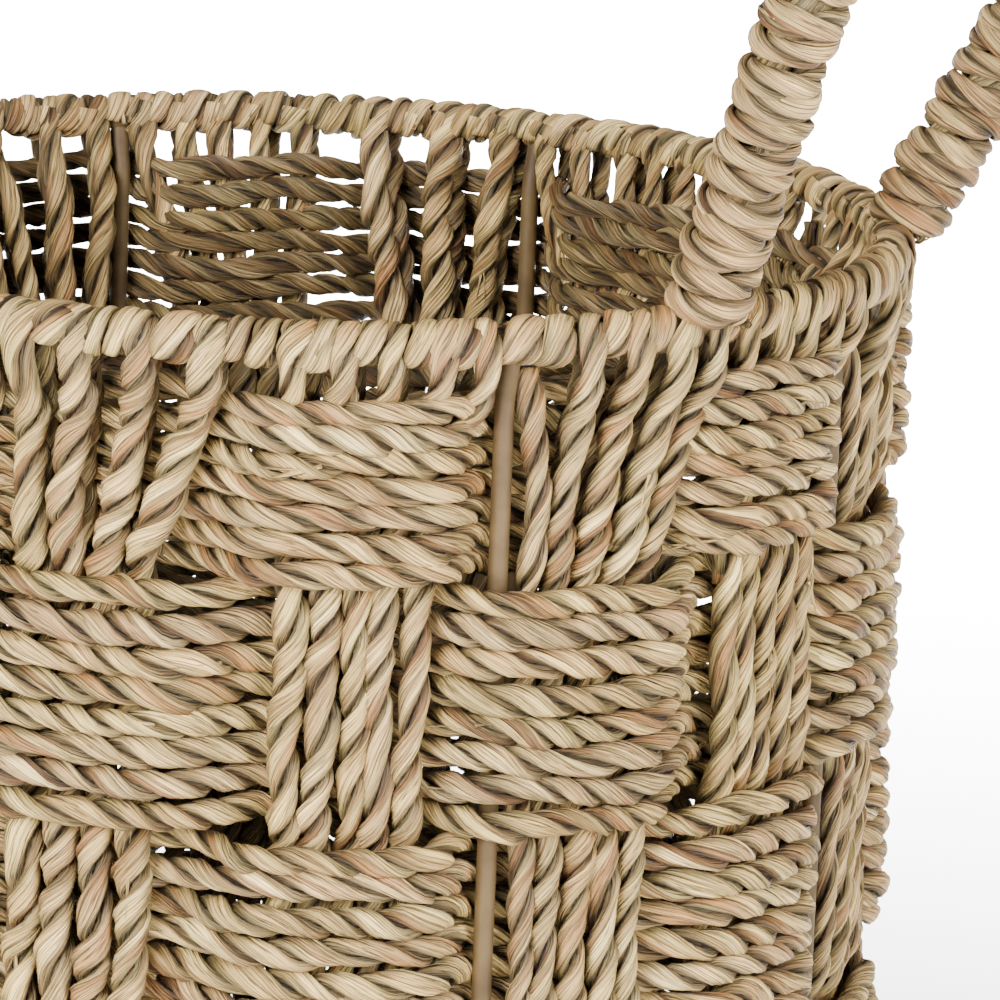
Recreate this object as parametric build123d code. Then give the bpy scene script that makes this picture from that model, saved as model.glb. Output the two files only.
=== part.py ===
from build123d import *
import os
from math import cos, radians, sin, tan

# Seagrass storage basket: a welded wire frame (two rings, uprights, a base cross and two
# handle hoops) that carries a block weave of two-ply seagrass cord.
# Millimetres, +Z up. The origin is the middle of the base, on the surface it stands on.
# The handles stand at +X and -X. Each woven or wrapped part is one plain closed solid of
# the outer shape of its cords.

# Wire frame
WIRE_R = 2.25                 # every wire of the frame
RIM_RADIUS = 142.0            # centre line of the rim ring
WALL_RADIUS = 138.0           # centre line of the uprights and of the woven wall
BASE_RING_Z = 5.9
BASE_CROSS_TURN = 22.5        # the base cross meets the base ring between uprights
UPRIGHTS = 8
UPRIGHT_BEND = 14.0           # how far under the rim an upright turns out to meet it
UPRIGHT_BEND_RADIUS = 10.0
BEAD_R = 3.1                  # weld bead where a wire meets the rim ring

# Weave of the wall
COLUMNS = 16
COLUMN_STEP = 360.0 / COLUMNS
COLUMN_OFFSET = 8.8           # an upright stands just before every second column
COLUMN_HALF_ANGLE = 7.15      # five cords side by side
WARP_THICKNESS = 5.2
WARP_STEP = 1.8               # how far a column of warp cords leaves the middle of the wall
WARP_CHANGE = 5.0             # half the height in which it changes side
WEFT_THICKNESS = 7.0
WEFT_STEP = 6.2               # how far a weft cord leaves the middle of the wall
UPRIGHT_COLUMN_ARC = (-1.6, 16.2)     # the block over a column and the upright before it
NEXT_COLUMN_ARC = (24.0, 38.8)        # the block over the next column
# In the top row, 1 where a column's warp cords pass outside the weft and -1 where they pass inside.
# Neighbours take turns, but for two places where the turns start again.
TOP_ROW_SIDES = (1, -1, 1, 1, -1, 1, -1, 1, -1, 1, -1, -1, 1, -1, 1, -1)
ROW_HEIGHTS = [44.0, 58.4, 58.4, 58.4, 58.4]     # from the rim down
OPEN_BAND = 10.5              # open warp cords between the rim ring and the first row
CLEARANCE = 0.4

# Lashings that cover the rings
RIM_LASHING_R = 6.8
BASE_LASHING_R = 6.4
LASHING_BORE_R = WIRE_R + 0.15
LASHING_GAP = 1.8             # degrees left free on each side of a wire that meets the ring
BASE_TOP = BASE_RING_Z + BASE_LASHING_R + CLEARANCE
RIM_Z = BASE_TOP + sum(ROW_HEIGHTS) + OPEN_BAND

# Handles
HANDLE_HALF_ANGLE = 25.2      # from the middle of a handle to each foot, round the rim
HANDLE_RISE = 112.0
HANDLE_LEANS = (18.6, 26.2)   # each leg's outward lean in degrees, the hoop is a little twisted
HANDLE_SPREAD = 9.0           # each leg's lean away from the other
HANDLE_CORNER = 40.0
HANDLE_WRAP_R = 10.0
HANDLE_WRAP_START = 13.5      # along the leg from the rim ring

# Woven base panel
BASE_STRIPS = 7               # each way
BASE_PITCH = 37.5
BASE_STRIP_WIDTH = 30.0
BASE_STRIP_THICKNESS = 6.0
BASE_STRIP_GAP = 0.3
BASE_PANEL_RADIUS = 126.5
BASE_PANEL_Z = BASE_RING_Z + WIRE_R + CLEARANCE + 0.1


def polar(radius, angle, z=0.0):
    return Vector(radius * cos(radians(angle)), radius * sin(radians(angle)), z)


def ring(radius, section_radius, z):
    return Pos(0, 0, z) * Torus(radius, section_radius)


def tube(path, radius):
    return sweep(Plane(path @ 0, z_dir=path % 0) * Circle(radius), path=path)


def rod(start, end, radius):
    return tube(Line(start, end), radius)


def upright_run():
    """The last run of the upright at angle 0, which leans out to the rim ring."""
    return Vector(RIM_RADIUS - WALL_RADIUS, 0, UPRIGHT_BEND).normalized()


def upright():
    """One upright at angle 0, from the base ring up and out to the underside of the rim ring."""
    top = Vector(RIM_RADIUS, 0, RIM_Z)
    path = FilletPolyline(
        (WALL_RADIUS, 0, BASE_RING_Z + 1.0),
        (WALL_RADIUS, 0, RIM_Z - UPRIGHT_BEND),
        top - upright_run(),
        radius=UPRIGHT_BEND_RADIUS,
    )
    bead = Pos(top - upright_run() * 1.5) * Sphere(BEAD_R)
    solid = tube(path, WIRE_R) + bead
    solid -= ring(RIM_RADIUS, WIRE_R, RIM_Z)
    return solid - ring(WALL_RADIUS, WIRE_R, BASE_RING_Z)


def base_wire(start, end):
    """A straight wire of the base cross, cut to the ring and turned to stand between uprights."""
    solid = rod((start, 0, BASE_RING_Z), (end, 0, BASE_RING_Z), WIRE_R)
    return Rot(0, 0, BASE_CROSS_TURN) * (solid - ring(WALL_RADIUS, WIRE_R, BASE_RING_Z))


def leg_direction(side):
    """Direction of a handle leg, scaled to a rise of 1. side is -1 or 1 along Y."""
    lean = HANDLE_LEANS[0] if side < 0 else HANDLE_LEANS[1]
    return Vector(tan(radians(lean)), side * tan(radians(HANDLE_SPREAD)), 1.0)


def handle_path(start):
    """Centre line of the handle at +X. It begins and ends that far along the legs."""
    foot_a = polar(RIM_RADIUS, -HANDLE_HALF_ANGLE, RIM_Z)
    foot_b = polar(RIM_RADIUS, HANDLE_HALF_ANGLE, RIM_Z)
    way_a = leg_direction(-1)
    way_b = leg_direction(1)
    return FilletPolyline(
        foot_a + way_a.normalized() * start,
        foot_a + way_a * HANDLE_RISE,
        foot_b + way_b * HANDLE_RISE,
        foot_b + way_b.normalized() * start,
        radius=HANDLE_CORNER,
    )


def handle_wire():
    solid = tube(handle_path(1.0), WIRE_R)
    for side in (-1, 1):
        foot = polar(RIM_RADIUS, side * HANDLE_HALF_ANGLE, RIM_Z)
        solid += Pos(foot + leg_direction(side) * 1.5) * Sphere(BEAD_R)
    return solid - ring(RIM_RADIUS, WIRE_R, RIM_Z)


def handle_wrap():
    path = handle_path(HANDLE_WRAP_START)
    return tube(path, HANDLE_WRAP_R) - tube(handle_path(1.0), LASHING_BORE_R)


def lashing(section, wire_angles):
    """The cord loops round a ring, one hollow stretch from each wire that meets it to the next."""
    stops = sorted(wire_angles)
    stretches = []
    for start, end in zip(stops, stops[1:] + [stops[0] + 360.0]):
        arc = end - start - 2 * LASHING_GAP
        stretch = revolve(section, axis=Axis.Z, revolution_arc=arc)
        stretches.append(Rot(0, 0, start + LASHING_GAP) * stretch)
    return Compound(stretches)


def rim_lashing():
    section = Circle(RIM_LASHING_R) - Circle(LASHING_BORE_R)
    angles = [i * 360.0 / UPRIGHTS for i in range(UPRIGHTS)]
    for middle in (0.0, 180.0):
        angles += [middle - HANDLE_HALF_ANGLE, middle + HANDLE_HALF_ANGLE]
    angles = [angle % 360.0 for angle in angles]
    return lashing(Pos(RIM_RADIUS, 0, RIM_Z) * Rot(90, 0, 0) * section, angles)


def base_lashing():
    """The lashing of the base ring is flat where the basket stands."""
    section = Circle(BASE_LASHING_R) - Circle(LASHING_BORE_R)
    section &= Pos(0, BASE_LASHING_R - BASE_RING_Z) * Rectangle(3 * BASE_LASHING_R, 2 * BASE_LASHING_R)
    angles = [i * 360.0 / UPRIGHTS for i in range(UPRIGHTS)]
    angles += [BASE_CROSS_TURN + i * 90.0 for i in range(4)]
    return lashing(Pos(WALL_RADIUS, 0, BASE_RING_Z) * Rot(90, 0, 0) * section, angles)


def weft_outline(step, shift):
    """Closed line that steps in and out round the wall, shifted by half the cord's thickness."""
    edges = []
    first = last = None
    for column, side in enumerate(TOP_ROW_SIDES):
        arc = NEXT_COLUMN_ARC if column % 2 else UPRIGHT_COLUMN_ARC
        turn = column // 2 * 2 * COLUMN_STEP
        start, end = turn + arc[0], turn + arc[1]
        radius = WALL_RADIUS - side * step + shift
        points = [polar(radius, angle) for angle in (start, (start + end) / 2, end)]
        if last is None:
            first = points[0]
        else:
            edges.append(Line(last, points[0]))
        edges.append(ThreePointArc(*points))
        last = points[2]
    edges.append(Line(last, first))
    return make_face(Wire(edges))


def weft_band(row):
    """The weft cords of one row. They pass inside the uprights in every second row."""
    top = RIM_Z - OPEN_BAND - sum(ROW_HEIGHTS[:row])
    height = ROW_HEIGHTS[row] - CLEARANCE
    step = WEFT_STEP if row % 2 == 0 else -WEFT_STEP
    half = WEFT_THICKNESS / 2
    face = weft_outline(step, half) - weft_outline(step, -half)
    return Pos(0, 0, top - height) * extrude(face, amount=height)


def warp_column(column):
    """One column of warp cords, outside the weft in one row and inside it in the next."""
    side = TOP_ROW_SIDES[column]
    z = RIM_Z - RIM_LASHING_R - CLEARANCE
    spine = [(WALL_RADIUS + side * WARP_STEP, z)]
    z = RIM_Z - OPEN_BAND
    for height in ROW_HEIGHTS[:-1]:
        z -= height
        spine.append((WALL_RADIUS + side * WARP_STEP, z + WARP_CHANGE))
        side = -side
        spine.append((WALL_RADIUS + side * WARP_STEP, z - WARP_CHANGE))
    spine.append((WALL_RADIUS + side * WARP_STEP, BASE_TOP))
    half = WARP_THICKNESS / 2
    outside = [(r + half, 0, z) for r, z in spine]
    inside = [(r - half, 0, z) for r, z in reversed(spine)]
    face = make_face(Polyline(*outside, *inside, close=True))
    solid = revolve(face, axis=Axis.Z, revolution_arc=2 * COLUMN_HALF_ANGLE)
    return Rot(0, 0, COLUMN_OFFSET + column * COLUMN_STEP - COLUMN_HALF_ANGLE) * solid


def base_strip(number, starts_high):
    """One strip of the base panel along X, over and under the strips that cross it."""
    low = BASE_PANEL_Z
    lift = BASE_STRIP_THICKNESS + BASE_STRIP_GAP
    half = BASE_STRIP_WIDTH / 2
    line = []
    for i in range(BASE_STRIPS):
        x = (i - BASE_STRIPS // 2) * BASE_PITCH
        high = (i % 2 == 0) == starts_high
        z = low + lift if high else low
        line += [(x - half, 0, z), (x + half, 0, z)]
    back = [(x, y, z + BASE_STRIP_THICKNESS) for x, y, z in reversed(line)]
    face = make_face(Polyline(*line, *back, close=True))
    y = (number - BASE_STRIPS // 2) * BASE_PITCH
    solid = Pos(0, y, 0) * extrude(face, amount=half, both=True)
    return solid & (Pos(0, 0, BASE_PANEL_Z) * Cylinder(BASE_PANEL_RADIUS, 60))


def build_frame():
    parts = {
        "rim_ring": ring(RIM_RADIUS, WIRE_R, RIM_Z),
        "base_ring": ring(WALL_RADIUS, WIRE_R, BASE_RING_Z),
        "handle_wire_right": handle_wire(),
        "handle_wire_left": Rot(0, 0, 180) * handle_wire(),
    }
    end = WALL_RADIUS - 1.0
    parts["base_wire_long"] = base_wire(-end, end)
    parts["base_wire_back"] = Rot(0, 0, 90) * base_wire(WIRE_R, end)
    parts["base_wire_front"] = Rot(0, 0, -90) * base_wire(WIRE_R, end)
    first = upright()
    for i in range(UPRIGHTS):
        parts["upright_%d" % (i + 1)] = Rot(0, 0, i * 360.0 / UPRIGHTS) * first
    return parts


def build_weave():
    parts = {
        "rim_lashing": rim_lashing(),
        "base_lashing": base_lashing(),
        "handle_wrap_right": handle_wrap(),
        "handle_wrap_left": Rot(0, 0, 180) * handle_wrap(),
    }
    for column in range(COLUMNS):
        parts["warp_column_%02d" % (column + 1)] = warp_column(column)
    for row in range(len(ROW_HEIGHTS)):
        parts["weft_band_%d" % (row + 1)] = weft_band(row)
    for i in range(BASE_STRIPS):
        parts["base_strip_x%d" % (i + 1)] = base_strip(i, i % 2 == 0)
        parts["base_strip_y%d" % (i + 1)] = Rot(0, 0, 90) * base_strip(BASE_STRIPS - 1 - i, i % 2 == 1)
    return parts


os.makedirs("parts", exist_ok=True)
for name, solid in {**build_frame(), **build_weave()}.items():
    export_step(solid, "parts/%s.step" % name)
print("rim ring height", round(RIM_Z, 1))
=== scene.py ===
from math import cos, pi, radians, sin, tan

import bpy
import numpy as np
from mathutils import Matrix, Vector


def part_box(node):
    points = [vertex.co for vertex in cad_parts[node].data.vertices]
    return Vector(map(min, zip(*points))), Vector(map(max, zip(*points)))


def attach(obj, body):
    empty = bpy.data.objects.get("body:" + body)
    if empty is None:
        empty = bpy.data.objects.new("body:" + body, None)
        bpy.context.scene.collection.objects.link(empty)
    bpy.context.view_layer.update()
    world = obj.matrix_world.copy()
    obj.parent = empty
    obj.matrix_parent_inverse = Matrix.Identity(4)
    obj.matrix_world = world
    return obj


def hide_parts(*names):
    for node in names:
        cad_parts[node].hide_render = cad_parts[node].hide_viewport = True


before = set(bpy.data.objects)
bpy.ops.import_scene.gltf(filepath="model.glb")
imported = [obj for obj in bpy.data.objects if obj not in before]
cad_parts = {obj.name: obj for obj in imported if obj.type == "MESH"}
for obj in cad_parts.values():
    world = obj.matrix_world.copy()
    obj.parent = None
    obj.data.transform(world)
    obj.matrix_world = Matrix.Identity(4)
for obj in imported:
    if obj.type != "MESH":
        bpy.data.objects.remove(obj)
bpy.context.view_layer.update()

# The woven seagrass of the basket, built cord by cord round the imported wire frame.
# Lengths are in millimetres until a mesh is made, angles in degrees round +Z.
MM = 0.001


def node_box(node):
    """The node's lowest and highest corners in millimetres."""
    low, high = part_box(node)
    return np.array(low) / MM, np.array(high) / MM


# Places and sizes, read from the frame
low, high = node_box("rim_ring")
WIRE_R = (high[2] - low[2]) / 2
RIM_Z = (high[2] + low[2]) / 2
RIM_R = (high[0] - low[0]) / 2 - WIRE_R
low, high = node_box("base_ring")
BASE_Z = (high[2] + low[2]) / 2
WALL_R = (high[0] - low[0]) / 2 - WIRE_R
ROWS = 5
ROW_SPANS = []
for row in range(ROWS):
    low, high = node_box("weft_band_%d" % (row + 1))
    ROW_SPANS.append((low[2], high[2]))
PANEL_LOW = node_box("base_strip_x1")[0][2]
PANEL_HIGH = node_box("base_strip_x1")[1][2]
PANEL_R = node_box("base_strip_x4")[1][0]

# The weave
COLUMNS = 16
STEP = 360.0 / COLUMNS
COLUMN_OFFSET = 8.8
STRANDS = 5                    # warp cords side by side in a column
STRAND_PITCH = 2.86            # degrees, in the wall
RIM_PITCH = STEP / STRANDS     # degrees, where they cross the rim ring
RIM_START = 1.7                # the first warp cord at the rim, after an upright
WARP_D = 7.0
SHIFTED_COLUMN = 12            # the column whose cords cover its upright
WIDE_SETS = {12: 4, 4: 3, 6: 4}  # columns with fewer, thicker cords, and how many
# In the top row, 1 where a column's warp cords pass outside the weft and -1 where they pass inside
TOP_ROW_SIDES = (1, -1, 1, 1, -1, 1, -1, 1, -1, 1, -1, -1, 1, -1, 1, -1)
WARP_STEP = 1.7                # how far warp and weft stand from the wall's middle
WEFT_STEP = 6.2
WEFTS = (7, 8, 8, 8, 8)        # cords in each row
# Where the weft crosses from side to side within a pair of columns: its start and length in degrees
CROSSINGS = ((15.0, 9.5), (38.0, 6.4))
PAIR_START = 0.6               # how far before an upright a pair of columns begins
FIRST_BLOCK = 19.5             # where the first block begins
WEFT_D = 7.0
LOOSE_WEAVE = 0.08             # how much thinner the cords are in the loosely woven part
TWIST = 25.0                   # one full turn of the two plies
LEAVES = 5                     # leaves round a ply
LOOSE = 1 / 110.0              # loose ends of leaf for each mm of cord
RIM_RISE = 0.6                 # the cords over the rim are slack, and ride above the wire

# The angles of the points round a ply, closer together on the side that shows
SECTION = np.radians([-135, -108, -84, -62, -41, -20, 0, 20, 41, 62, 84, 108, 135, 180])
# How far a ply is from the middle of its cord, and its radii outward and across, in cord diameters
PLY_SHAPE = (0.245, 0.262, 0.39)
FLAT_PLY_SHAPE = (0.22, 0.28, 0.40)

# Leaf colours, linear, from the darkest leaves to the palest
PALETTE = (
    ((0.20, 0.100, 0.034), 0.22),
    ((0.46, 0.225, 0.070), 0.31),
    ((0.46, 0.280, 0.100), 0.38),
    ((0.66, 0.415, 0.155), 0.46),
    ((0.54, 0.385, 0.140), 0.53),
    ((0.79, 0.520, 0.190), 0.60),
    ((1.00, 0.720, 0.290), 0.72),
)
LEAF_LENGTH = 45.0             # how far a leaf keeps much the same colour


def smooth(t):
    """A soft step from 0 to 1."""
    t = np.clip(t, 0.0, 1.0)
    return t * t * (3 - 2 * t)


def waves(rng, s, length, size):
    """A smooth random curve along s: three sines of about that wavelength."""
    total = np.zeros_like(s)
    for factor in (0.6, 1.0, 1.9):
        stretch = length * factor * rng.uniform(0.8, 1.2)
        total += np.sin(2 * pi * s / stretch + rng.uniform(0, 2 * pi))
    return total * size / 2.0


def cylinder_points(angle, radius, z):
    """Points from their angles round +Z in degrees, radii and heights."""
    a = np.radians(angle)
    return np.stack([radius * np.cos(a), radius * np.sin(a), z], axis=1)


def unit(v):
    return v / np.maximum(np.linalg.norm(v, axis=1, keepdims=True), 1e-9)


def resample(points, extra, spacing):
    """Evenly spaced points along a line, with the columns of extra carried along."""
    steps = np.linalg.norm(np.diff(points, axis=0), axis=1)
    along = np.concatenate([[0.0], np.cumsum(steps)])
    count = max(4, int(round(along[-1] / spacing)) + 1)
    s = np.linspace(0.0, along[-1], count)
    new = np.stack([np.interp(s, along, points[:, i]) for i in range(3)], axis=1)
    more = np.stack([np.interp(s, along, extra[:, i]) for i in range(extra.shape[1])], axis=1)
    return new, more, s


class Strands:
    """Collects the plies of many cords into one mesh."""

    def __init__(self, seed):
        self.rng = np.random.default_rng(seed)
        self.points = []
        self.faces = []
        self.fibre = []
        self.tint = []
        # the painted crevice shade of each point, 1 in the open
        self.painted_occlusion = []
        self.count = 0

    def cord(self, points, outward, width, thick,
             twist=TWIST, spacing=1.9, tone=1.0, rough=1.0, shape=PLY_SHAPE):
        """Adds a two-ply cord. width and thick are its diameters along and across its surface."""
        rng = self.rng
        width = np.broadcast_to(width, len(points))
        thick = np.broadcast_to(thick, len(points))
        extra = np.concatenate([outward, width[:, None], thick[:, None]], axis=1)
        points, extra, s = resample(points, extra, spacing)
        tangent = unit(np.gradient(points, axis=0))
        normal = extra[:, :3] - tangent * np.sum(extra[:, :3] * tangent, axis=1, keepdims=True)
        normal = unit(normal)
        side = np.cross(tangent, normal)
        size = 1.0 + waves(rng, s, 45.0, 0.09 * rough)
        wide = extra[:, 3] * size
        deep = extra[:, 4] * size
        turn = -2 * pi * s / (twist * rng.uniform(0.85, 1.15)) + waves(rng, s, 60.0, 0.6 * rough)
        turn += rng.uniform(0, 2 * pi)
        share = rng.uniform(-0.09, 0.09)
        hue = np.array([1.0, rng.uniform(0.96, 1.03), rng.uniform(0.90, 1.08)])
        hue *= rng.uniform(0.9, 1.1) * tone
        for ply, more in ((0, share), (1, -share)):
            place = (points, normal, side, wide, deep, turn + ply * pi, s)
            self.ply(place, 1.0 + more, hue, rough, shape)
        frays = rng.integers(0, len(s), rng.poisson(s[-1] * rough * LOOSE / 2))
        for first in np.repeat(frays, rng.integers(1, 5, len(frays))):
            run = rng.choice([-1, 1]) * rng.uniform(4, 11)
            drift = rng.uniform(-2.5, 2.5)
            lift = rng.uniform(0.2, 1.5)
            line = []
            for part in (0.0, 0.5, 1.0):
                i = int(np.clip(first + part * run / spacing, 0, len(s) - 1))
                up = deep[i] * 0.40 + lift * part
                line.append(points[i] + normal[i] * up + side[i] * drift * part)
            self.wisp(line, rng.uniform(0.6, 1.7))

    def ply(self, place, size, hue, rough, shape):
        """Adds one of a cord's plies. place is the cord's line, its sizes and how far the ply has turned."""
        rng = self.rng
        points, normal, side, wide, deep, turn, s = place
        offset, high, broad = shape
        beta = SECTION[None, :]
        # leaves are wound round the ply, and each one stands a little over the next
        lay = beta + 0.30 * turn[:, None] + waves(rng, s, 70.0, 0.5)[:, None]
        leaf = lay * LEAVES / (2 * pi) + 100.0
        part = leaf - np.floor(leaf)
        bulge = 0.11 * (np.sin(pi * part) ** 0.6) - 0.07 * part
        taper = size * (1.0 + waves(rng, s, 24.0, 0.13 * rough))[:, None]
        radial = high * taper * (1.0 + bulge + waves(rng, s, 12.0, 0.07 * rough)[:, None])
        across = broad * taper * (1.0 + bulge)
        x = offset + radial * np.cos(beta) + 0.06 * np.sin(beta)
        y = across * np.sin(beta)
        c, d = np.cos(turn)[:, None], np.sin(turn)[:, None]
        u = (x * c - y * d) * wide[:, None]
        v = (x * d + y * c) * deep[:, None]
        grid = points[:, None, :] + side[:, None, :] * u[..., None] + normal[:, None, :] * v[..., None]
        along = np.broadcast_to((s + rng.uniform(0, 5000.0))[:, None], lay.shape)
        fibre = np.stack([np.cos(lay), np.sin(lay), along], axis=2)
        light = (1.0 + waves(rng, s, 50.0, 0.07)) * rng.uniform(0.93, 1.07)
        tint = light[:, None, None] * np.broadcast_to(hue, lay.shape + (3,))
        # painted shade: the ply is darker towards the crevice between the two plies, on its side towards the
        # wall and at the cord's flanks; 1 is open, 0 is the deepest shade
        level = smooth(v / deep[:, None] / 0.42 + 0.62)
        level *= 1.0 - 0.75 * smooth(np.abs(u / wide[:, None]) * 7.0 - 2.5)
        painted_occlusion = smooth(np.cos(beta) * 0.7 + 0.62) * (0.30 + 0.70 * level)
        self.tube(grid, fibre, tint, painted_occlusion)

    def tube(self, grid, fibre, tint, painted_occlusion):
        """Adds a tube from rings of points, and closes its ends."""
        start, end = grid[:1].mean(axis=1, keepdims=True), grid[-1:].mean(axis=1, keepdims=True)
        grid = np.concatenate([grid[:1] * 0.02 + start * 0.98, grid, grid[-1:] * 0.02 + end * 0.98])
        rows, k = grid.shape[:2]
        index = (np.arange(rows)[:, None] * k + np.arange(k)[None, :]) + self.count
        after = np.roll(index, -1, axis=1)
        quads = np.stack([index[:-1], after[:-1], after[1:], index[1:]], axis=2).reshape(-1, 4)
        self.points.append(grid.reshape(-1, 3))
        self.faces.append(quads)
        self.count += rows * k
        pad = ((1, 1), (0, 0))
        self.fibre.append(np.pad(fibre, pad + ((0, 0),), mode="edge").reshape(-1, 3))
        self.tint.append(np.pad(tint, pad + ((0, 0),), mode="edge").reshape(-1, 3))
        self.painted_occlusion.append(np.pad(painted_occlusion, pad, mode="edge").reshape(-1))

    def wisp(self, points, width, thick=0.35, tone=1.0):
        """Adds a loose strip of leaf along a few points, pointed at its far end."""
        rng = self.rng
        points = np.array(points, float)
        t = np.linspace(0, 1, 14)
        steps = np.linspace(0, 1, len(points))
        line = np.stack([np.interp(t, steps, points[:, i]) for i in range(3)], axis=1)
        for _ in range(3):
            line[1:-1] = (line[:-2] + 2 * line[1:-1] + line[2:]) / 4
        tangent = unit(np.gradient(line, axis=0))
        flat = unit(np.cross(tangent, rng.normal(size=(1, 3)) + np.zeros_like(line)))
        third = np.cross(tangent, flat)
        shape = (1 - 0.85 * t ** 2)[:, None, None]
        beta = np.linspace(0, 2 * pi, 7)[:-1][None, :, None]
        twist = (t * rng.uniform(-2.5, 2.5))[:, None, None]
        u = width / 2 * np.cos(beta)
        v = thick / 2 * np.sin(beta)
        c, d = np.cos(twist), np.sin(twist)
        section = flat[:, None, :] * (u * c - v * d) + third[:, None, :] * (u * d + v * c)
        grid = line[:, None, :] + shape * section
        lay = np.broadcast_to(beta[..., 0] * 0.25, grid.shape[:2])
        along = np.broadcast_to((t * 20 + rng.uniform(0, 5000))[:, None], lay.shape)
        fibre = np.stack([np.cos(lay), np.sin(lay), along], axis=2)
        tint = np.full(grid.shape, tone * rng.uniform(0.85, 1.15))
        self.tube(grid, fibre, tint, np.full(lay.shape, 1.0))

    def piece(self, name, *nodes):
        """Makes the object, which stands for those CAD nodes."""
        points = np.concatenate(self.points) * MM
        points[:, 2] = np.maximum(points[:, 2], 0.0)
        faces = np.concatenate(self.faces)
        mesh = bpy.data.meshes.new(name)
        mesh.vertices.add(len(points))
        mesh.vertices.foreach_set("co", points.ravel())
        mesh.loops.add(faces.size)
        mesh.loops.foreach_set("vertex_index", faces.ravel().astype(np.int32))
        mesh.polygons.add(len(faces))
        mesh.polygons.foreach_set("loop_start", np.arange(0, faces.size, 4, dtype=np.int32))
        mesh.polygons.foreach_set("use_smooth", np.ones(len(faces), dtype=bool))
        mesh.update(calc_edges=True)
        fibre = mesh.attributes.new("fibre", "FLOAT_VECTOR", "POINT")
        fibre.data.foreach_set("vector", np.concatenate(self.fibre).ravel())
        tint = mesh.attributes.new("tint", "FLOAT_COLOR", "POINT")
        rgba = np.ones((len(points), 4))
        rgba[:, :3] = np.concatenate(self.tint)
        tint.data.foreach_set("color", rgba.ravel())
        # painted shade for each point, 1 in the open and 0 deep in a crevice, which darkens the base colour
        painted_occlusion = mesh.attributes.new("painted_occlusion", "FLOAT", "POINT")
        painted_occlusion.data.foreach_set("value", np.concatenate(self.painted_occlusion))
        mesh.materials.append(SEAGRASS)
        piece = bpy.data.objects.new(name, mesh)
        bpy.context.scene.collection.objects.link(piece)
        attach(piece, "root")
        if nodes:
            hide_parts(*nodes)
        return piece


# Materials

def new_material(name):
    """A node material, its tree and its Principled shader."""
    material = bpy.data.materials.new(name)
    material.use_nodes = True
    tree = material.node_tree
    shader = tree.nodes["Principled BSDF"]
    return material, tree, shader


def add(tree, kind, **settings):
    """A new node, with its properties set."""
    node = tree.nodes.new(kind)
    for key, value in settings.items():
        setattr(node, key, value)
    return node


def math_node(tree, operation, a, b=None):
    """A Math node. a and b are sockets or numbers."""
    node = add(tree, "ShaderNodeMath", operation=operation)
    for socket, value in zip(node.inputs, (a, b)):
        if value is None:
            continue
        if isinstance(value, (int, float)):
            socket.default_value = value
        else:
            tree.links.new(value, socket)
    return node.outputs[0]


def stretched_noise(tree, vector, scale, detail=3.0):
    """Noise over the fibre attribute: fine round the ply and long along it."""
    stretch = add(tree, "ShaderNodeVectorMath", operation="MULTIPLY")
    stretch.inputs[1].default_value = scale
    tree.links.new(vector, stretch.inputs[0])
    noise = add(tree, "ShaderNodeTexNoise")
    noise.inputs["Scale"].default_value = 1.0
    noise.inputs["Detail"].default_value = detail
    noise.inputs["Roughness"].default_value = 0.6
    tree.links.new(stretch.outputs[0], noise.inputs["Vector"])
    return noise.outputs["Fac"]


def ranged(tree, value, low, high, to_low, to_high):
    """The value, mapped from one range to another and held within it."""
    node = add(tree, "ShaderNodeMapRange", clamp=True)
    limits = {"From Min": low, "From Max": high, "To Min": to_low, "To Max": to_high}
    for name, number in limits.items():
        node.inputs[name].default_value = number
    tree.links.new(value, node.inputs["Value"])
    return node.outputs["Result"]


def vector_math(tree, operation, a, b):
    """A Vector Math node between two sockets."""
    node = add(tree, "ShaderNodeVectorMath", operation=operation)
    tree.links.new(a, node.inputs[0])
    tree.links.new(b, node.inputs["Scale" if operation == "SCALE" else 1])
    return node.outputs[0]


def leaf_pattern(tree, fibre):
    """How far across its leaf a place is, and noise that differs from leaf to leaf."""
    axes = add(tree, "ShaderNodeSeparateXYZ")
    tree.links.new(fibre, axes.inputs[0])
    turn = math_node(tree, "ARCTAN2", axes.outputs[1], axes.outputs[0])
    place = math_node(tree, "MULTIPLY", turn, LEAVES / (2 * pi))
    number = math_node(tree, "FLOOR", place)
    part = math_node(tree, "SUBTRACT", place, number)
    both = add(tree, "ShaderNodeCombineXYZ")
    tree.links.new(math_node(tree, "MULTIPLY", number, 7.31), both.inputs[0])
    tree.links.new(math_node(tree, "DIVIDE", axes.outputs[2], LEAF_LENGTH), both.inputs[1])
    random = add(tree, "ShaderNodeTexNoise", noise_dimensions="2D")
    random.inputs["Scale"].default_value = 1.0
    random.inputs["Detail"].default_value = 1.0
    tree.links.new(both.outputs[0], random.inputs["Vector"])
    return part, random.outputs["Fac"]


def product(tree, *factors):
    """The product of several sockets."""
    total = factors[0]
    for factor in factors[1:]:
        total = math_node(tree, "MULTIPLY", total, factor)
    return total


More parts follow.
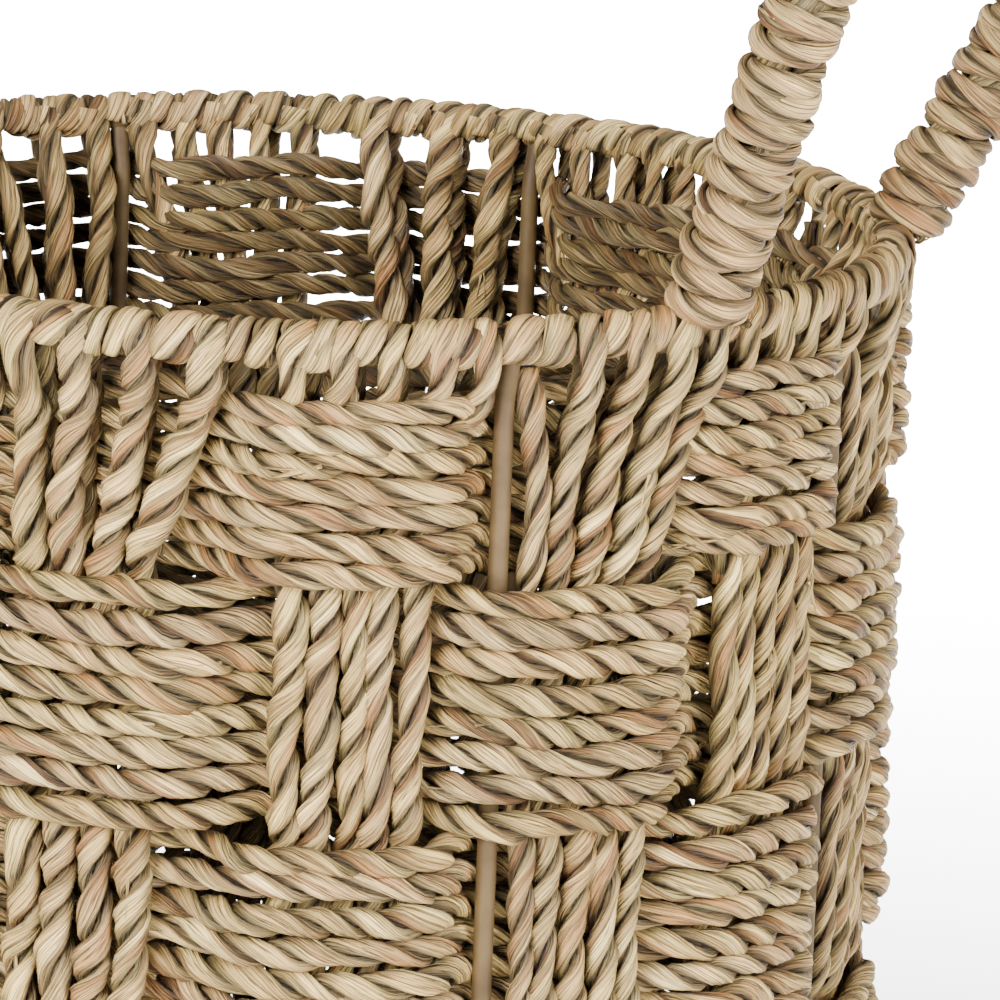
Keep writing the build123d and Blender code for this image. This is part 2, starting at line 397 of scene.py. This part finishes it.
def seagrass_material():
    """Dry leaf strips: each leaf its own colour, painted shade in the creases, at the leaf edges and in the
    crevices between plies, long streaks, raised fibres.
    """
    material, tree, shader = new_material("seagrass")
    fibre = add(tree, "ShaderNodeAttribute", attribute_name="fibre").outputs["Vector"]
    tint = add(tree, "ShaderNodeAttribute", attribute_name="tint").outputs["Color"]
    painted_occlusion = add(tree, "ShaderNodeAttribute", attribute_name="painted_occlusion").outputs["Fac"]
    part, random = leaf_pattern(tree, fibre)
    ramp = add(tree, "ShaderNodeValToRGB")
    stops = ramp.color_ramp.elements
    stops.remove(stops[1])
    for number, (colour, place) in enumerate(PALETTE):
        stop = stops[0] if number == 0 else stops.new(place)
        stop.position = place
        stop.color = colour + (1.0,)
    tree.links.new(random, ramp.inputs["Fac"])
    broad = stretched_noise(tree, fibre, (1.5, 1.5, 0.05), 2.0)
    streak = stretched_noise(tree, fibre, (4.2, 4.2, 0.06), 2.0)
    fine = stretched_noise(tree, fibre, (9.0, 9.0, 0.09), 1.0)
    crack = stretched_noise(tree, fibre, (3.0, 3.0, 0.05), 1.0)
    ridge = math_node(tree, "ABSOLUTE", math_node(tree, "SUBTRACT", crack, 0.5))
    crease = ranged(tree, ridge, 0.0, 0.045, 0.0, 1.0)
    edge = ranged(tree, part, 0.0, 0.12, 0.0, 1.0)
    # the leaves' own tone from the broad, streak and fine noise, times painted shade: dark lines along the
    # creases, a dark band where each leaf lies over the next, and the painted crevice shade of the plies
    light = product(
        tree,
        ranged(tree, broad, 0.3, 0.7, 0.80, 1.16),
        ranged(tree, streak, 0.32, 0.68, 0.72, 1.16),
        ranged(tree, fine, 0.3, 0.7, 0.80, 1.12),
        ranged(tree, crease, 0.0, 1.0, 0.30, 1.0),
        ranged(tree, edge, 0.0, 1.0, 0.30, 1.0),
        ranged(tree, painted_occlusion, 0.0, 1.0, 0.13, 1.0),
    )
    colour = vector_math(tree, "MULTIPLY", ramp.outputs["Color"], tint)
    tree.links.new(vector_math(tree, "SCALE", colour, light), shader.inputs["Base Color"])
    tree.links.new(ranged(tree, streak, 0.3, 0.7, 0.46, 0.7), shader.inputs["Roughness"])
    shader.inputs["Specular IOR Level"].default_value = 0.4
    height = math_node(tree, "ADD", math_node(tree, "MULTIPLY", crease, 0.5), edge)
    height = math_node(tree, "ADD", height, ranged(tree, streak, 0.25, 0.75, 0.0, 1.0))
    height = math_node(tree, "ADD", height, ranged(tree, fine, 0.25, 0.75, 0.0, 0.3))
    bump = add(tree, "ShaderNodeBump")
    bump.inputs["Strength"].default_value = 1.0
    bump.inputs["Distance"].default_value = 0.0006
    tree.links.new(height, bump.inputs["Height"])
    tree.links.new(bump.outputs["Normal"], shader.inputs["Normal"])
    return material


def wire_material():
    """Beige painted wire, with thin and chipped places."""
    material, tree, shader = new_material("painted_wire")
    place = add(tree, "ShaderNodeTexCoord").outputs["Object"]
    noise = add(tree, "ShaderNodeTexNoise")
    noise.inputs["Scale"].default_value = 90.0
    noise.inputs["Detail"].default_value = 5.0
    tree.links.new(place, noise.inputs["Vector"])
    ramp = add(tree, "ShaderNodeValToRGB")
    ramp.color_ramp.elements[0].position = 0.28
    ramp.color_ramp.elements[0].color = (0.056, 0.031, 0.011, 1)
    ramp.color_ramp.elements[1].position = 0.62
    ramp.color_ramp.elements[1].color = (0.112, 0.070, 0.026, 1)
    tree.links.new(noise.outputs["Fac"], ramp.inputs["Fac"])
    tree.links.new(ramp.outputs["Color"], shader.inputs["Base Color"])
    tree.links.new(ranged(tree, noise.outputs["Fac"], 0.3, 0.7, 0.62, 0.48), shader.inputs["Roughness"])
    shader.inputs["Specular IOR Level"].default_value = 0.3
    bump = add(tree, "ShaderNodeBump")
    bump.inputs["Strength"].default_value = 0.25
    bump.inputs["Distance"].default_value = 0.0004
    tree.links.new(noise.outputs["Fac"], bump.inputs["Height"])
    tree.links.new(bump.outputs["Normal"], shader.inputs["Normal"])
    return material


SEAGRASS = seagrass_material()
WIRE = wire_material()


# The wall

def weft_side(angle):
    """-1 where the top row's weft is inside the wall and +1 where it is outside, smooth between them."""
    a = np.mod(angle + PAIR_START, 360.0) - PAIR_START
    pair = np.floor((a + PAIR_START) / (2 * STEP)).astype(int)
    b = a - pair * 2 * STEP
    sides = -np.array(TOP_ROW_SIDES, float)
    first, second, third = sides[2 * pair], sides[2 * pair + 1], sides[(2 * pair + 2) % COLUMNS]
    side = first
    for (start, length), change in zip(CROSSINGS, (second - first, third - second)):
        side = side + change * smooth((b - start) / length)
    return side


def block_number(angle):
    """Which block of the row an angle is in, and how far through it, 0 to 1."""
    a = np.mod(angle - FIRST_BLOCK, 360.0)
    number = np.floor(a / STEP).astype(int)
    return number, a / STEP - number


def far_side(angle):
    """1 in the part of the top row that is woven more loosely, and 0 elsewhere."""
    a = np.mod(angle, 360.0)
    return smooth((a - 60.0) / 15.0) * smooth((175.0 - a) / 15.0)


def weft_row(row):
    """Rings of cord that pass in and out of the columns. Each one sags and wanders in its own way."""
    strands = Strands(100 + row)
    rng = strands.rng
    bottom, top = ROW_SPANS[row]
    count = WEFTS[row]
    pitch = (top - bottom) / count
    outside = 1.0 if row % 2 == 0 else -1.0
    angle = np.arange(0.0, 366.0, 0.6)
    sag = rng.uniform(-1.5, 1.0, COLUMNS)
    slope = rng.uniform(-0.9, 0.9, COLUMNS)
    for i in range(count):
        start = rng.integers(0, COLUMNS // 2) * 2 * STEP + (8.0 if row % 2 == 0 else 31.0)
        place = angle + start
        number, part = block_number(place)
        side = outside * weft_side(place)
        lift = np.sin(pi * part)
        radius = WALL_R + side * WEFT_STEP + np.maximum(side, 0) * 1.0 * lift
        radius += waves(rng, place * 2.4, 60.0, 0.9)
        free = 1.9 if i == 0 else 1.0
        own = rng.uniform(-1.3, 0.9, COLUMNS) * free
        z = top - pitch * (i + 0.5) + waves(rng, place * 2.4, 55.0, 0.6)
        z += (sag + own)[number] * lift + slope[number] * np.sin(2 * pi * part)
        tuck = smooth(np.abs(np.linspace(-1, 1, len(place))) * 12.0 - 11.0)
        radius -= tuck * 2.0
        line = cylinder_points(place, radius, z)
        outward = cylinder_points(place, np.ones_like(place), place * 0)
        size = min(WEFT_D, pitch * 1.01) * rng.uniform(0.88, 1.08)
        size = size * (1.0 - LOOSE_WEAVE * far_side(place)) if row == 0 else size
        strands.cord(line, outward, size, size * 0.94, spacing=2.1)
    strands.piece("weft_cords_%d" % (row + 1), "weft_band_%d" % (row + 1))


def column_side(column, z):
    """+1 at the heights where the column's warp cords pass outside the weft, and -1 inside."""
    side = np.full_like(z, float(TOP_ROW_SIDES[column]))
    for row in range(ROWS - 1):
        border = ROW_SPANS[row][0]
        side *= 1.0 - 2.0 * smooth((border - z) / 12.0 + 0.5)
    return side


def join(parts):
    """Runs of (angle, radius, z, tilt, width, thickness) as one line, its outward directions and sizes."""
    columns = []
    for i in range(6):
        columns.append(np.concatenate([np.broadcast_to(part[i], part[2].shape) for part in parts]))
    angle, radius, z, tilt, width, thick = columns
    radial = cylinder_points(angle, np.ones_like(angle), angle * 0)
    outward = radial * np.cos(tilt)[:, None] + np.array([0.0, 0.0, 1.0]) * np.sin(tilt)[:, None]
    return cylinder_points(angle, radius, z), outward, width, thick


def warp_line(column, rim_angle, wall_angle, size, tucked, rng):
    """One warp cord: round the base ring, up the wall, over the rim ring and partly down inside."""
    wrap = WIRE_R + 1.5
    z = np.linspace(BASE_Z + 7.0, RIM_Z - 6.5, 150)
    row_low = ROW_SPANS[0][0]
    fan = smooth((z - (row_low - 8.0)) / (RIM_Z - row_low + 8.0))
    side = column_side(column, z)
    angle = wall_angle * (1 - fan) + rim_angle * fan + waves(rng, z, 60.0, 0.3)
    radius = WALL_R + side * WARP_STEP + 0.3 * (1 + side) + waves(rng, z, 50.0, 0.5)
    to_rim = smooth((z - (RIM_Z - 22.0)) / 16.0)
    to_base = smooth((BASE_Z + 19.0 - z) / 12.0)
    under = WIRE_R + 1.75
    out = radius * (1 - to_rim) + (RIM_R + (-4.5 if tucked else wrap)) * to_rim
    out = out * (1 - to_base) + (WALL_R + under) * to_base
    width = size * (1.0 - 0.12 * to_rim)
    thick = width * (0.94 - 0.3 * to_rim)
    arc = np.linspace(0.0, pi, 14)[1:-1]
    hook = z[:18]
    hook_radius = radius[:18] - 3.0
    hook_radius = hook_radius * (1 - to_base[:18]) + (WALL_R - under) * to_base[:18]
    parts = [
        (angle[0] + 1.2, hook_radius[::-1], hook[::-1], pi, 5.4, 4.6),
        (np.linspace(angle[0] + 1.2, angle[0], 12), WALL_R - under * np.cos(arc),
         BASE_Z + 2.5 - (under + 2.3) * np.sin(arc), arc - pi, 6.4, 3.4),
        (angle, out, z, 0.0, width, thick),
    ]
    if tucked:
        return join(parts)
    behind = angle[-1] + RIM_PITCH * rng.uniform(0.05, 0.35)
    end = row_low + (4.0 if TOP_ROW_SIDES[column] > 0 else -8.0)
    down = np.linspace(RIM_Z - 6.5, end, 40)
    to_rim = smooth((down - (RIM_Z - 22.0)) / 16.0)
    fall = smooth((down - end) / (RIM_Z - end))
    inner = np.interp(down, z, radius) - 4.6
    inner = inner * (1 - to_rim) + (RIM_R - wrap) * to_rim + 2.5 * smooth((end + 9.0 - down) / 9.0)
    back = behind * fall + (wall_angle + 0.5) * (1 - fall) + waves(rng, down, 60.0, 0.25)
    parts.append((np.linspace(angle[-1], back[0], 12), RIM_R + wrap * np.cos(arc),
                  RIM_Z - 3.0 + (wrap + 3.0 + RIM_RISE) * np.sin(arc), arc, size * 1.02, 3.0))
    parts.append((back, inner, down, pi, size * 0.86, size * (0.80 - 0.2 * to_rim)))
    return join(parts)


RIM_PLACES = []                # where the warp cords cross the rim, for the loops between them


def warp_column(column):
    """The cords of a column, spread out towards the rim. The first by an upright stops behind the rim."""
    strands = Strands(300 + column)
    rng = strands.rng
    count = WIDE_SETS.get(column, STRANDS)
    upright = column * STEP
    for i in range(count):
        rim = RIM_START + (i + 0.1) * STEP / count + rng.uniform(-0.5, 0.5)
        wall = COLUMN_OFFSET + (i - (count - 1) / 2) * STRAND_PITCH * STRANDS / count
        wall += rng.uniform(-0.25, 0.25)
        size = WARP_D * (STRANDS / count) ** 0.6 * rng.uniform(0.88, 1.1)
        size *= 1.0 - LOOSE_WEAVE * far_side(upright + wall)
        if column == SHIFTED_COLUMN:
            rim, wall = rim - 1.9, wall - 2.3
        tucked = i == 0 and column % 2 == 0 and count == STRANDS
        if tucked:
            size *= 0.82
        if column % 2 == 0 and i > 0 and count == STRANDS:
            rim += 0.9
        if not tucked:
            RIM_PLACES.append((upright + rim) % 360.0)
        line = warp_line(column, upright + rim, upright + wall, size, tucked, rng)
        strands.cord(*line, twist=24.0)
    strands.piece("warp_cords_%02d" % (column + 1), "warp_column_%02d" % (column + 1))


# The lashings and wraps

def loop_round_ring(strands, ring, angle, wrap, width, thick, flat=1.0):
    """One loop of cord round a ring's wire, its ends tucked on the inner side.

    ring is the ring's radius and height, and wrap is the loop's own radius.
    """
    ring_r, ring_z = ring
    drift, slack = 1.0, 1.3
    rng = strands.rng
    t = np.radians(np.linspace(-200.0 - rng.uniform(0, 30), 200.0 + rng.uniform(0, 30), 60))
    loop_r = wrap + 0.5 * np.abs(t) / pi
    loop_r += np.maximum(-np.sin(t), 0) * (1 + np.cos(t)) * rng.uniform(0.0, slack)
    a = angle + drift * t / pi + rng.uniform(-0.2, 0.2)
    r = ring_r + loop_r * np.cos(t)
    z = ring_z + loop_r * flat * np.sin(t)
    line = cylinder_points(a, r, z)
    radial = cylinder_points(a, np.ones_like(a), a * 0)
    outward = np.cos(t)[:, None] * radial + np.sin(t)[:, None] * np.array([0.0, 0.0, 1.0])
    strands.cord(line, outward, width, thick, twist=36.0, spacing=1.3)


def clear_of_handles(angle):
    """The angle, moved aside if a handle stands there."""
    for foot in (-FOOT_ANGLE, FOOT_ANGLE, 180.0 - FOOT_ANGLE, 180.0 + FOOT_ANGLE):
        away = (angle - foot + 180.0) % 360.0 - 180.0
        if abs(away) < 2.0:
            return foot + (2.0 if away > 0 else -2.0)
    return angle


def rim_lashing():
    """Loops round the rim ring that fill the gaps between the warp cords."""
    strands = Strands(500)
    rng = strands.rng
    places = sorted(RIM_PLACES)
    mm_per_degree = pi * RIM_R / 180.0
    for place, following in zip(places, places[1:] + [places[0] + 360.0]):
        gap = following - place
        count = max(1, round(gap / 4.2))
        for i in range(count):
            angle = place + gap * (i + 1) / (count + 1)
            width = max(5.2, gap * mm_per_degree / count - 4.2) * rng.uniform(0.95, 1.15)
            angle = clear_of_handles(angle + rng.uniform(-0.25, 0.25))
            loop_round_ring(strands, (RIM_R, RIM_Z + RIM_RISE), angle, WIRE_R + 1.4, min(width, 9.0), 2.9)
    strands.piece("rim_loops", "rim_lashing")


def base_lashing():
    """One loop round the base ring beside each warp cord."""
    strands = Strands(520)
    for i in range(COLUMNS * STRANDS):
        angle = COLUMN_OFFSET - 8.0 + (i + 0.5) * RIM_PITCH
        loop_round_ring(strands, (WALL_R, BASE_Z), angle, WIRE_R + 1.7, 7.6, 3.8, flat=0.93)
    strands.piece("base_loops", "base_lashing")


# A handle at +X: its feet, its two legs' lean outwards, their spread, its height and its corners
FOOT_ANGLE = 25.2
HANDLE_R = 9.8
LEANS = (18.6, 26.2)
SPREAD = 9.0
RISE = 112.0
CORNER = 40.0


def handle_line(start, spacing):
    """The middle of the handle at +X: two legs, two corner arcs and the grip."""
    def leg(side):
        lean = LEANS[0] if side < 0 else LEANS[1]
        foot = np.array([RIM_R * cos(radians(FOOT_ANGLE)), side * RIM_R * sin(radians(FOOT_ANGLE)), RIM_Z])
        way = np.array([tan(radians(lean)), side * tan(radians(SPREAD)), 1.0])
        return foot, way

    foot_a, way_a = leg(-1)
    foot_b, way_b = leg(1)
    corners = [
        foot_a + way_a / np.linalg.norm(way_a) * start,
        foot_a + way_a * RISE,
        foot_b + way_b * RISE,
        foot_b + way_b / np.linalg.norm(way_b) * start,
    ]
    points = [corners[0]]
    for i in (1, 2):
        back = corners[i - 1] - corners[i]
        back /= np.linalg.norm(back)
        on = corners[i + 1] - corners[i]
        on /= np.linalg.norm(on)
        half = np.arccos(np.dot(back, on)) / 2
        reach = CORNER / np.tan(half)
        middle = corners[i] + (back + on) / np.linalg.norm(back + on) * CORNER / np.sin(half)
        first = corners[i] + back * reach - middle
        last = corners[i] + on * reach - middle
        swing = pi - 2 * half
        for t in np.linspace(0.0, 1.0, 24):
            arc = first * np.sin((1 - t) * swing) + last * np.sin(t * swing)
            points.append(middle + arc / np.sin(swing))
    points.append(corners[-1])
    points = np.array(points)
    line, _, s = resample(points, points, spacing)
    return line, s


def frayed_end(strands, place, outward):
    """A cord's cut end: a tuft of short dark strips that curl outwards and up."""
    rng = strands.rng
    sideways = np.cross(outward, [0.0, 0.0, 1.0])
    for _ in range(14):
        start = place + rng.uniform(-1.6, 1.6, 3)
        way = outward + sideways * rng.uniform(-1.2, 1.2)
        reach, curl = rng.uniform(1.2, 3.0), rng.uniform(1.2, 2.8)
        line = [start]
        for t in (0.6, 1.5, 2.4, 3.4):
            line.append(start + way * reach * sin(t) + np.array([0.0, 0.0, curl * (1 - cos(t)) - 1.0 * t]))
        strands.wisp(line, rng.uniform(0.9, 2.0), tone=0.45)


def handle_wrap(name, turned):
    """The cord wound round a handle from foot to foot, the padding cord under it, and its frayed ends."""
    strands = Strands(600 + int(turned))
    rng = strands.rng
    line, s = handle_line(5.0, 0.25)
    tangent = unit(np.gradient(line, axis=0))
    # a frame that doesn't turn about the line
    across = np.zeros_like(line)
    across[0] = unit(np.cross(tangent[:1], [[0.0, 1.0, 0.0]]))[0]
    for i in range(1, len(line)):
        v = across[i - 1] - tangent[i] * np.dot(across[i - 1], tangent[i])
        across[i] = v / np.linalg.norm(v)
    third = np.cross(tangent, across)
    pitch = 6.6
    turns = s[-1] / pitch
    t = np.linspace(0.0, turns, int(turns * 40))
    place = t * pitch + waves(rng, t * pitch, 30.0, 1.2)
    theta = 2 * pi * t
    # the turns lie aslant near the feet
    foot = smooth(1 - place / 60.0) + smooth(1 - (s[-1] - place) / 60.0)
    axial = place + (0.3 + 0.5 * foot) * np.sin(theta + 0.8)
    axial = np.clip(axial, 0.0, s[-1])
    radius = HANDLE_R - 2.4 + waves(rng, t, 1.7, 0.4)
    cols = [np.interp(axial, s, a[:, i]) for a in (line, across, third) for i in range(3)]
    middle = np.stack(cols[0:3], axis=1)
    e1 = np.stack(cols[3:6], axis=1)
    e2 = np.stack(cols[6:9], axis=1)
    outward = unit(e1 * np.cos(theta)[:, None] + e2 * np.sin(theta)[:, None])
    path = middle + outward * radius[:, None]
    core, core_out = line[::8], across[::8]
    if turned:
        flip = np.array([-1.0, -1.0, 1.0])
        path, outward = path * flip, outward * flip
        core, core_out = core * flip, core_out * flip
    strands.cord(core, core_out, 13.0, 13.0, twist=90.0, spacing=2.5, tone=0.6, rough=0.5)
    strands.cord(path, outward, 6.7, 5.2, twist=34.0, spacing=1.4, tone=0.88, rough=0.9, shape=FLAT_PLY_SHAPE)
    for foot in (-FOOT_ANGLE, FOOT_ANGLE):
        a = radians(foot + (180.0 if turned else 0.0) + (2.4 if foot < 0 else -2.4))
        away = np.array([cos(a), sin(a), 0.0])
        end = away * (RIM_R + WIRE_R + 3.0) + np.array([0.0, 0.0, RIM_Z + 2.0])
        frayed_end(strands, end, away)
    strands.piece(name, "handle_wrap_" + ("left" if turned else "right"))


# The base panel

STRIPS = 7                     # strips each way
STRIP_PITCH = 37.5
STRIP_CORDS = 4                # cords side by side in a strip
STRIP_CORD_PITCH = 7.2


def base_strip(letter, number):
    """Four cords side by side, over and under the strips that cross them."""
    strands = Strands(700 + number + (50 if letter == "y" else 0))
    rng = strands.rng
    node = "base_strip_%s%d" % (letter, number + 1)
    low, high = node_box(node)
    across = 1 if letter == "x" else 0
    middle = (low[across] + high[across]) / 2
    middle = round(middle / STRIP_PITCH) * STRIP_PITCH
    lift = (PANEL_HIGH - PANEL_LOW - 6.0) / 2
    centre = (PANEL_HIGH + PANEL_LOW) / 2
    for i in range(STRIP_CORDS):
        offset = middle + (i - (STRIP_CORDS - 1) / 2) * STRIP_CORD_PITCH
        half = np.sqrt(max(PANEL_R ** 2 - offset ** 2, 100.0))
        t = np.linspace(-half, half, 160)
        wave = np.cos(pi * t / STRIP_PITCH) * (-1 if abs(number - STRIPS // 2) % 2 else 1)
        wave = np.clip(wave * 1.8, -1, 1)
        sign = 1.0 if letter == "x" else -1.0
        z = centre + sign * lift * wave + waves(rng, t, 50.0, 0.3)
        side = offset + waves(rng, t, 60.0, 0.5)
        points = np.stack([t, side, z] if letter == "x" else [side, t, z], axis=1)
        outward = np.tile([0.0, 0.0, 1.0], (len(t), 1))
        strands.cord(points, outward, 7.0, 5.8, spacing=2.2)
    strands.piece("base_cords_%s%d" % (letter, number + 1), node)


def paint_wires():
    """The frame's own nodes stay, and take the painted wire."""
    for name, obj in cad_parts.items():
        if name.endswith("_ring") or name.startswith(("upright", "base_wire", "handle_wire")):
            if not obj.material_slots:
                obj.data.materials.append(WIRE)
            for material_slot in obj.material_slots:
                material_slot.material = WIRE


# The stage: a pale floor, soft light and the camera

CAMERA_AZIMUTH = 25.3
CAMERA_ELEVATION = 11.06
CAMERA_DISTANCE = 1632.0       # from the middle of the rim ring
CAMERA_LENS = 245.2
AIM_RIGHT = 1.756              # degrees that the camera looks to the right of that point
AIM_DOWN = 2.302
CAMERA_ROLL = 2.272


def stage():
    """A pale matt floor."""
    mesh = bpy.data.meshes.new("floor")
    half = 30.0
    corners = [(-half, -half, 0), (half, -half, 0), (half, half, 0), (-half, half, 0)]
    mesh.from_pydata(corners, [], [(0, 1, 2, 3)])
    floor = bpy.data.objects.new("floor", mesh)
    bpy.context.scene.collection.objects.link(floor)
    material, tree, shader = new_material("floor_paint")
    shader.inputs["Base Color"].default_value = (0.93, 0.93, 0.93, 1)
    shader.inputs["Roughness"].default_value = 0.9
    mesh.materials.append(material)


def area_light(name, azimuth, elevation, distance, size, power):
    """A square soft light that looks at the basket. Azimuth is as for the camera."""
    light = bpy.data.lights.new(name, "AREA")
    light.shape = "SQUARE"
    light.size = size
    light.energy = power
    obj = bpy.data.objects.new(name, light)
    a, e = radians(azimuth), radians(elevation)
    target = Vector((0, 0, 0.2))
    way = Vector((sin(a) * cos(e), -cos(a) * cos(e), sin(e)))
    obj.location = target + way * distance
    obj.rotation_euler = (-way).to_track_quat("-Z", "Y").to_euler()
    bpy.context.scene.collection.objects.link(obj)


def background_light(name, azimuth, power):
    """Lights the floor away from the basket, so that it comes out white."""
    light = bpy.data.lights.new(name, "AREA")
    light.shape = "SQUARE"
    light.size = 3.2
    light.energy = power
    light.spread = radians(50)
    obj = bpy.data.objects.new(name, light)
    a = radians(azimuth)
    obj.location = (2.6 * sin(a), -2.6 * cos(a), 2.2)
    obj.visible_camera = False
    bpy.context.scene.collection.objects.link(obj)


def lights():
    """A dim even sky, a soft key and fill, and lights that whiten the floor."""
    world = bpy.data.worlds.new("studio")
    world.use_nodes = True
    tree = world.node_tree
    tree.nodes["Background"].inputs["Color"].default_value = (1, 1, 1, 1)
    # a dim sky for light, seen as a white wall beyond the floor
    seen = add(tree, "ShaderNodeLightPath").outputs["Is Camera Ray"]
    tree.links.new(ranged(tree, seen, 0.0, 1.0, 0.22, 3.0), tree.nodes["Background"].inputs["Strength"])
    bpy.context.scene.world = world
    area_light("key", CAMERA_AZIMUTH - 32, 22, 2.2, 1.0, 116)
    area_light("fill", CAMERA_AZIMUTH + 45, 12, 2.4, 1.1, 92)
    background_light("background_far", CAMERA_AZIMUTH + 180, 950)
    background_light("background_near", CAMERA_AZIMUTH, 150)


def camera():
    """The camera stands to the right of the front and looks a little down over the rim."""
    data = bpy.data.cameras.new("camera")
    data.lens = CAMERA_LENS
    data.sensor_width = 36.0
    data.clip_end = 100.0
    obj = bpy.data.objects.new("camera", data)
    a, e = radians(CAMERA_AZIMUTH), radians(CAMERA_ELEVATION)
    away = Vector((sin(a) * cos(e), -cos(a) * cos(e), sin(e)))
    target = Vector((0, 0, RIM_Z * MM))
    forward = -away
    right = forward.cross(Vector((0, 0, 1))).normalized()
    up = right.cross(forward)
    forward = (forward + tan(radians(AIM_RIGHT)) * right - tan(radians(AIM_DOWN)) * up).normalized()
    right = forward.cross(Vector((0, 0, 1))).normalized()
    up = right.cross(forward)
    c, s = cos(radians(CAMERA_ROLL)), sin(radians(CAMERA_ROLL))
    right, up = right * c + up * s, up * c - right * s
    turn = Matrix((right, up, -forward)).transposed()
    obj.matrix_world = Matrix.Translation(target + away * CAMERA_DISTANCE * MM) @ turn.to_4x4()
    bpy.context.scene.collection.objects.link(obj)
    bpy.context.scene.camera = obj


camera()
lights()
stage()
paint_wires()
for row in range(ROWS):
    weft_row(row)
for column in range(COLUMNS):
    warp_column(column)
rim_lashing()
base_lashing()
handle_wrap("handle_cord_right", False)
handle_wrap("handle_cord_left", True)
for strip in range(STRIPS):
    base_strip("x", strip)
    base_strip("y", strip)
